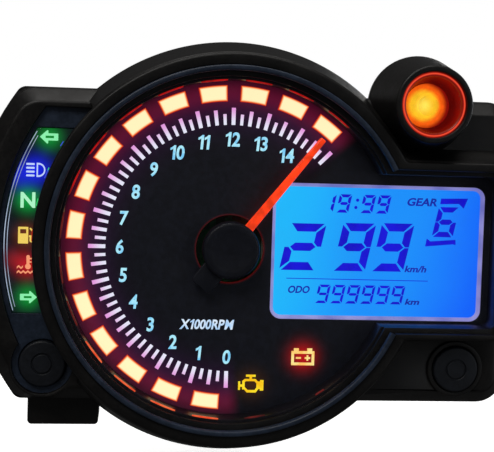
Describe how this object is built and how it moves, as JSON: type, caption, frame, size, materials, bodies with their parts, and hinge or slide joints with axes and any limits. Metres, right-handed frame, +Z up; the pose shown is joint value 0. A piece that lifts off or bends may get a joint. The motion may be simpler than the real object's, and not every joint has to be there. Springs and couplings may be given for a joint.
{
  "type": "motorcycle instrument cluster",
  "caption": "Motorcycle instrument cluster with a round tachometer, wide LCD, arc of tell-tales, push buttons and a shift lamp; it bolts on by rear studs.",
  "frame": {"origin": "centre of the three mounting studs, on the dial axis, in the plane of the rear mounting face", "axes": "+X to the rider's right, +Y away from the rider through the dial, +Z up"},
  "size_m": [0.154, 0.0545, 0.1154],
  "materials": {
    "housing": "moulded matt",
    "bezel": "satin",
    "clear_lens": "polished",
    "smoke_lens": "polished",
    "dial": "printed matt",
    "well": "satin",
    "light_guide": "frosted",
    "clear_acrylic": "polished",
    "white_plastic": "matt",
    "led": "encapsulated",
    "lcd_glass": "polished",
    "lcd_light": "frosted",
    "board": "solder mask",
    "chip": "moulded",
    "can": "bright",
    "steel": "zinc plated",
    "pins": "tin and brass",
    "copper": "enamelled wire",
    "rubber": "matt",
    "button": "matt",
    "switch": "moulded",
    "film": "printed",
    "needle": "fluorescent",
    "hub": "matt",
    "gear": "acetal",
    "magnet": "sintered",
    "motor_case": "moulded",
    "amber": "frosted",
    "red_glass": "polished",
    "reflector": "metallised"
  },
  "bodies": {
    "case": {"rear_cover": "housing", "front_cover": "housing", "case_seal": "rubber", "dial_lens": "clear_lens", "bezel_ring": "bezel", "dial_surround": "well", "dial_plate": "dial", "segment_light_box": "white_plastic", "segment_light_guides": "light_guide", "segment_leds": "led", "dial_light_guide": "clear_acrylic", "dial_leds": "led", "telltale_light_boxes": "white_plastic", "lcd_glass": "lcd_glass", "lcd_backlight": "lcd_light", "lcd_frame": "white_plastic", "lcd_pins": "pins", "main_board": "board", "microcontroller": "chip", "lcd_driver_chip": "chip", "voltage_regulator": "chip", "capacitors": "can", "connector_shroud": "housing", "connector_pins": "pins", "left_switch": "switch", "right_switch": "switch", "button_seals": "rubber", "indicator_lens": "smoke_lens", "indicator_film": "film", "indicator_light_box": "white_plastic", "indicator_leds": "led", "lamp_housing": "housing", "lamp_trim_ring": "red_glass", "lamp_lens": "red_glass", "lamp_board": "board", "lamp_led": "led", "lamp_reflector": "reflector", "lamp_diffuser": "amber", "motor_back_case": "motor_case", "motor_front_case": "motor_case", "motor_stator": "steel", "motor_coils": "copper", "mounting_studs": "steel", "case_screws": "steel", "lamp_screws": "steel", "board_screws": "steel"},
    "needle": {"needle_hub_cap": "hub", "needle_pointer": "needle", "needle_counterweight": "hub", "needle_shaft": "steel", "output_gear": "gear"},
    "motor_intermediate": {"intermediate_gear": "gear"},
    "motor_rotor": {"rotor_pinion": "gear", "rotor_magnet": "magnet"},
    "left_push": {"left_button": "button", "left_switch_plunger": "switch"},
    "right_push": {"right_button": "button", "right_switch_plunger": "switch"}
  },
  "joints": [
    {"name": "needle_sweep", "type": "hinge", "parent": "case", "child": "needle", "pos_m": [0, -0.03, 0], "axis": [0, 1, 0], "range_deg": [-218.4, 6.6]},
    {"name": "intermediate_turn", "type": "hinge", "parent": "case", "child": "motor_intermediate", "pos_m": [0, -0.012, -0.01], "axis": [0, 1, 0], "range_deg": [-27, 874]},
    {"name": "rotor_turn", "type": "hinge", "parent": "case", "child": "motor_rotor", "pos_m": [0, -0.012, -0.01787], "axis": [0, 1, 0], "range_deg": [-3495, 106]},
    {"name": "left_button_press", "type": "slide", "parent": "case", "child": "left_push", "axis": [0, 1, 0], "range_m": [0, 0.001], "stiffness_N_per_m": 1500},
    {"name": "right_button_press", "type": "slide", "parent": "case", "child": "right_push", "axis": [0, 1, 0], "range_m": [0, 0.001], "stiffness_N_per_m": 1500}
  ],
  "couplings": [
    {"joint": "intermediate_turn", "follows": "needle_sweep", "ratio": -4},
    {"joint": "rotor_turn", "follows": "needle_sweep", "ratio": 16}
  ]
}
